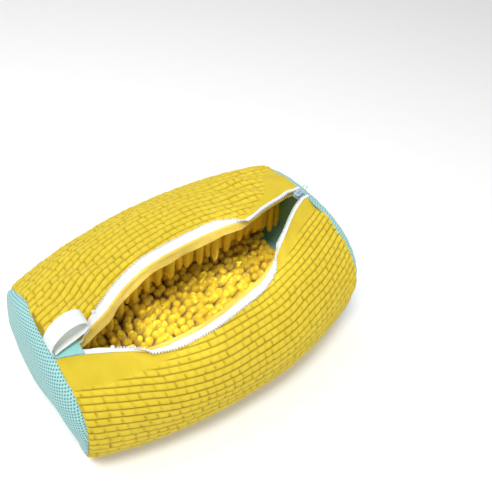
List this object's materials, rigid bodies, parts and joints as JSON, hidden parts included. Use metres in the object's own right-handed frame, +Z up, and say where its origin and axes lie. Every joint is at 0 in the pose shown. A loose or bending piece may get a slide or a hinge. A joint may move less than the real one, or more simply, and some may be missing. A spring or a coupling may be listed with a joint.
{
  "type": "shoe washing bag",
  "caption": "Barrel-shaped padded cloth bag on its side, lens-shaped zip mouth open on top, finger pile inside, bulged mesh ends, hanging loop and zip slider.",
  "frame": {"origin": "under the middle of the bag, on the surface it rests on", "axes": "+X along the bag from the hanging loop to the open end of the zip, +Y across it away from the low lip, +Z up"},
  "size_m": [0.3864, 0.2908, 0.1587],
  "materials": {
    "quilted_cloth": "yellow cloth stitched into small pillows",
    "plain_cloth": "smooth yellow woven cloth",
    "chenille": "yellow chenille fingers",
    "zip_tape": "white woven tape",
    "zip_teeth": "white nylon coil",
    "slider_metal": "pale blue grey, smooth",
    "mesh": "aqua knitted mesh",
    "lining": "smooth teal cloth",
    "binding": "pale woven tape",
    "webbing": "white woven webbing",
    "tab_cloth": "smooth aqua cloth"
  },
  "bodies": {
    "bag": {"outer_cover": "quilted_cloth", "cover_backing": "plain_cloth", "chenille_front": "chenille", "chenille_base": "chenille", "chenille_back": "chenille", "facing_front": "plain_cloth", "facing_back": "plain_cloth", "zip_tape_front": "zip_tape", "zip_tape_back": "zip_tape", "zip_teeth_front": "zip_teeth", "zip_teeth_back": "zip_teeth", "top_stop_front": "zip_teeth", "top_stop_back": "zip_teeth", "bottom_stop": "zip_teeth", "end_panel_left": "mesh", "end_panel_right": "mesh", "end_lining_left": "lining", "end_lining_right": "lining", "seam_binding_left": "binding", "seam_binding_right": "binding", "zip_end_tab": "tab_cloth"},
    "slider": {"slider_body": "slider_metal"},
    "pull": {"slider_pull": "slider_metal"},
    "loop": {"hanging_loop": "webbing"}
  },
  "joints": [
    {"name": "zip_travel", "type": "slide", "parent": "bag", "child": "slider", "axis": [-0.985, -0.1606, -0.0624], "range_m": [0, 0.2802]},
    {"name": "pull_swing", "type": "hinge", "parent": "slider", "child": "pull", "pos_m": [0.16136, -0.00002, 0.15036], "axis": [-0.1606, 0.987, -0.005], "range_deg": [-150, 0]},
    {"name": "loop_swing", "type": "hinge", "parent": "bag", "child": "loop", "pos_m": [-0.1714, -0.028, 0.13215], "axis": [0, 1, 0], "range_deg": [-90, 0]}
  ]
}
